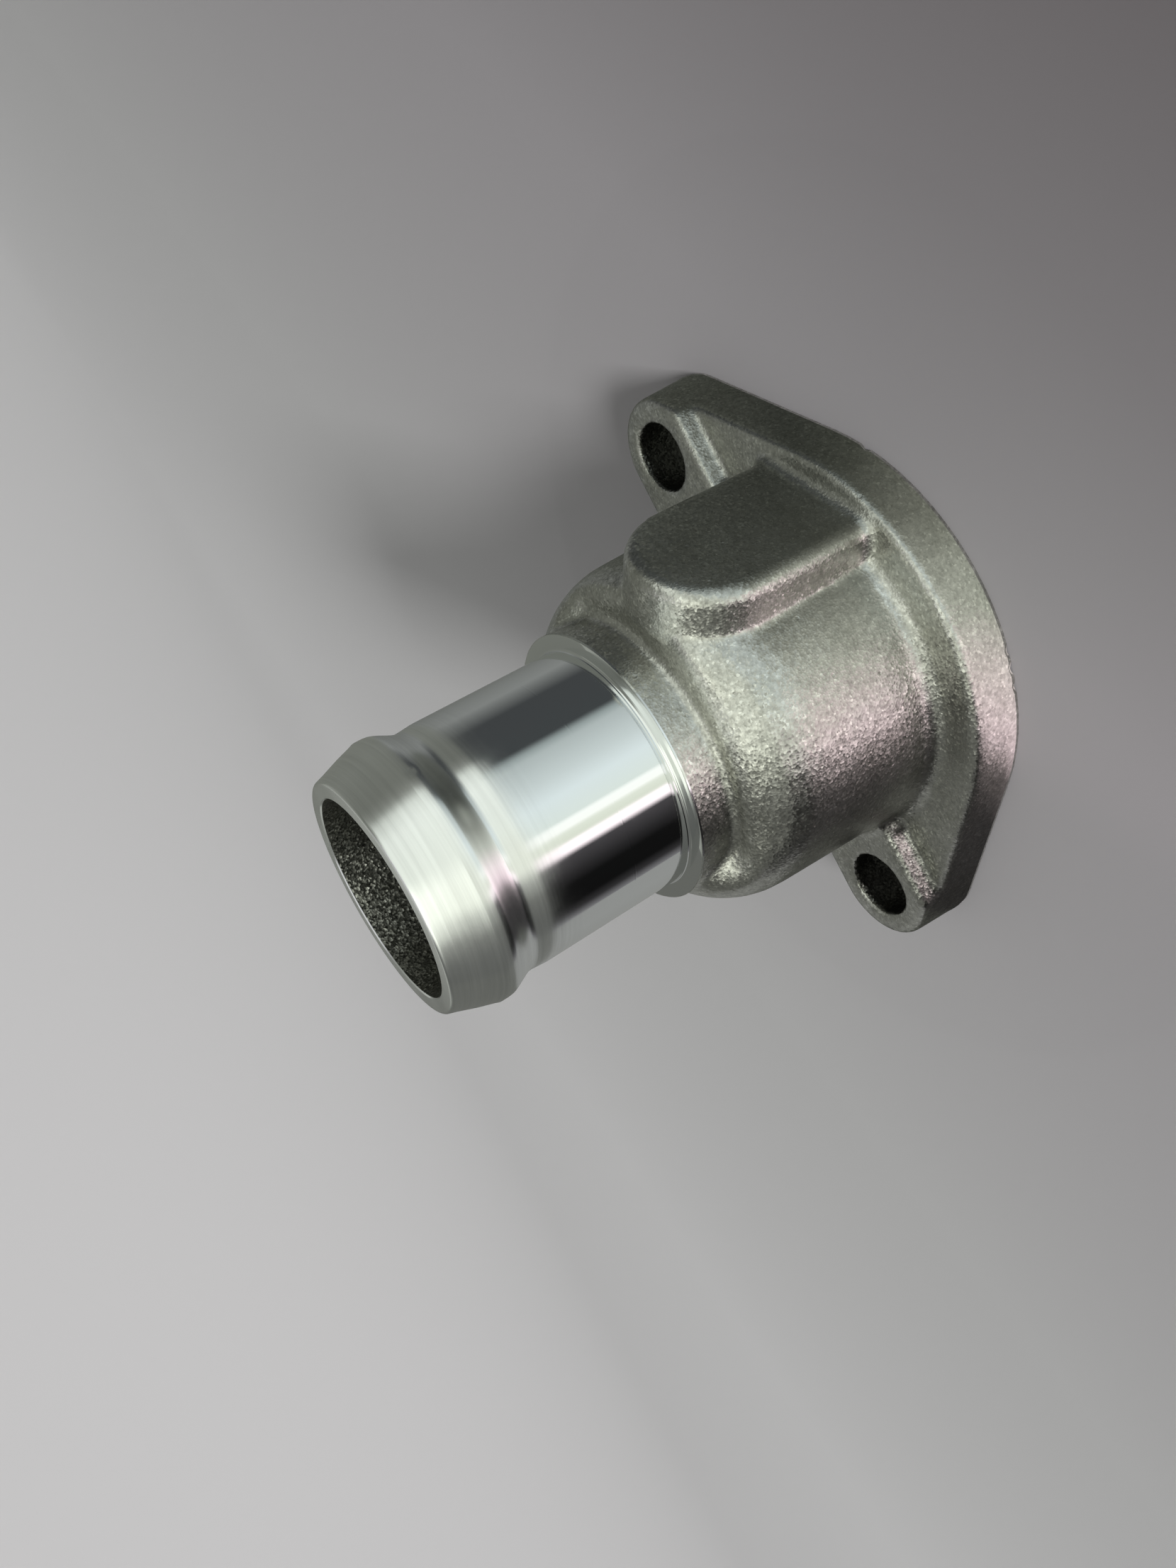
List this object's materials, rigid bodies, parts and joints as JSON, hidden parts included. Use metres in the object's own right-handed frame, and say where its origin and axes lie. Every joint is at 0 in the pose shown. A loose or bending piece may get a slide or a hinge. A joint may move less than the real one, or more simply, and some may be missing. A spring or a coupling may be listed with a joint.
{
  "type": "coolant flange",
  "caption": "Cast aluminium coolant flange: a stepped bolt flange with a domed body, a tongue-shaped pad on its side and a turned hose spout with a retaining bead.",
  "frame": {"origin": "centre of the casting's bounding box on the machined sealing face", "axes": "+Z along the spout, away from the sealing face, +X along the line of the bolt holes, -Y towards the flange's bulge"},
  "size_m": [0.0802, 0.0534, 0.069],
  "materials": {
    "cast_aluminium": "as cast and blasted, with a turned spout and a milled sealing face"
  },
  "bodies": {
    "root": {"flange_casting": "cast_aluminium"}
  },
  "joints": []
}
